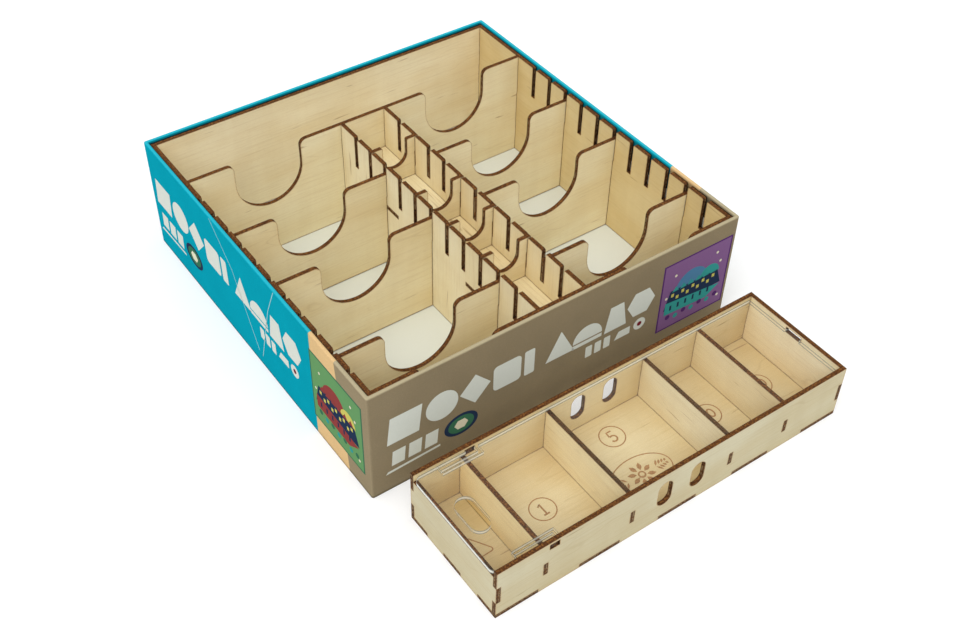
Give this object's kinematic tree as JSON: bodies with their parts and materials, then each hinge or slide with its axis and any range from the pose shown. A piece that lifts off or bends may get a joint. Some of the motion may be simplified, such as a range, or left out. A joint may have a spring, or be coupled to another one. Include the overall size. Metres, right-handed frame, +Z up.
{
  "type": "box insert organizer",
  "caption": "Plywood organizer insert with slotted walls, lift-out dividers and finger notches, in a printed box base, with a plywood coin tray under a clear sliding snap lid.",
  "frame": {"origin": "centre of the box base's underside, on the surface everything stands on", "axes": "+X to the right along the box's front, +Y to the rear, +Z up; the coin tray stands in front, at -Y"},
  "size_m": [0.266, 0.3735, 0.0825],
  "materials": {
    "birch_ply": "satin sanded birch plywood with scorched laser-cut edges",
    "clear_acrylic": "clear gloss acrylic sheet with polished cut edges",
    "printed_paper": "satin laminated print, teal and taupe",
    "greyboard": "matte grey chipboard",
    "white_liner": "matte white lining paper"
  },
  "bodies": {
    "box": {"box_board": "greyboard", "box_wrap": "printed_paper", "box_liner": "white_liner"},
    "insert": {"side_wall_left": "birch_ply", "side_wall_right": "birch_ply", "rear_wall": "birch_ply", "front_wall": "birch_ply", "rear_divider": "birch_ply", "spine_wall_left": "birch_ply", "spine_wall_right": "birch_ply", "channel_floor": "birch_ply"},
    "card_divider_left_1": {"card_divider_left_1": "birch_ply"},
    "card_divider_left_2": {"card_divider_left_2": "birch_ply"},
    "card_divider_left_3": {"card_divider_left_3": "birch_ply"},
    "card_divider_right_1": {"card_divider_right_1": "birch_ply"},
    "card_divider_right_2": {"card_divider_right_2": "birch_ply"},
    "card_divider_right_3": {"card_divider_right_3": "birch_ply"},
    "channel_divider_1": {"channel_divider_1": "birch_ply"},
    "channel_divider_2": {"channel_divider_2": "birch_ply"},
    "channel_divider_3": {"channel_divider_3": "birch_ply"},
    "channel_divider_4": {"channel_divider_4": "birch_ply"},
    "coin_tray": {"tray_floor": "birch_ply", "tray_front_wall": "birch_ply", "tray_rear_wall": "birch_ply", "tray_left_end_wall": "birch_ply", "tray_right_end_wall": "birch_ply", "tray_partition_1": "birch_ply", "tray_partition_2": "birch_ply", "tray_partition_3": "birch_ply", "tray_partition_4": "birch_ply"},
    "tray_lid": {"lid": "clear_acrylic", "lid_snap_arm_front": "clear_acrylic", "lid_snap_arm_rear": "clear_acrylic"}
  },
  "joints": [
    {"name": "insert_lift", "type": "slide", "parent": "box", "child": "insert", "axis": [0, 0, 1], "range_m": [0, 0.1]},
    {"name": "card_divider_left_1_lift", "type": "slide", "parent": "insert", "child": "card_divider_left_1", "axis": [0, 0, 1], "range_m": [0, 0.085]},
    {"name": "card_divider_left_2_lift", "type": "slide", "parent": "insert", "child": "card_divider_left_2", "axis": [0, 0, 1], "range_m": [0, 0.085]},
    {"name": "card_divider_left_3_lift", "type": "slide", "parent": "insert", "child": "card_divider_left_3", "axis": [0, 0, 1], "range_m": [0, 0.085]},
    {"name": "card_divider_right_1_lift", "type": "slide", "parent": "insert", "child": "card_divider_right_1", "axis": [0, 0, 1], "range_m": [0, 0.085]},
    {"name": "card_divider_right_2_lift", "type": "slide", "parent": "insert", "child": "card_divider_right_2", "axis": [0, 0, 1], "range_m": [0, 0.085]},
    {"name": "card_divider_right_3_lift", "type": "slide", "parent": "insert", "child": "card_divider_right_3", "axis": [0, 0, 1], "range_m": [0, 0.085]},
    {"name": "channel_divider_1_lift", "type": "slide", "parent": "insert", "child": "channel_divider_1", "axis": [0, 0, 1], "range_m": [0, 0.035]},
    {"name": "channel_divider_2_lift", "type": "slide", "parent": "insert", "child": "channel_divider_2", "axis": [0, 0, 1], "range_m": [0, 0.035]},
    {"name": "channel_divider_3_lift", "type": "slide", "parent": "insert", "child": "channel_divider_3", "axis": [0, 0, 1], "range_m": [0, 0.035]},
    {"name": "channel_divider_4_lift", "type": "slide", "parent": "insert", "child": "channel_divider_4", "axis": [0, 0, 1], "range_m": [0, 0.035]},
    {"name": "coin_tray_lift", "type": "slide", "parent": "box", "child": "coin_tray", "axis": [0, 0, 1], "range_m": [0, 0.1]},
    {"name": "tray_lid_slide", "type": "slide", "parent": "coin_tray", "child": "tray_lid", "axis": [-1, 0, 0], "range_m": [0, 0.25], "deforming": ["lid_snap_arm_front", "lid_snap_arm_rear"]}
  ]
}
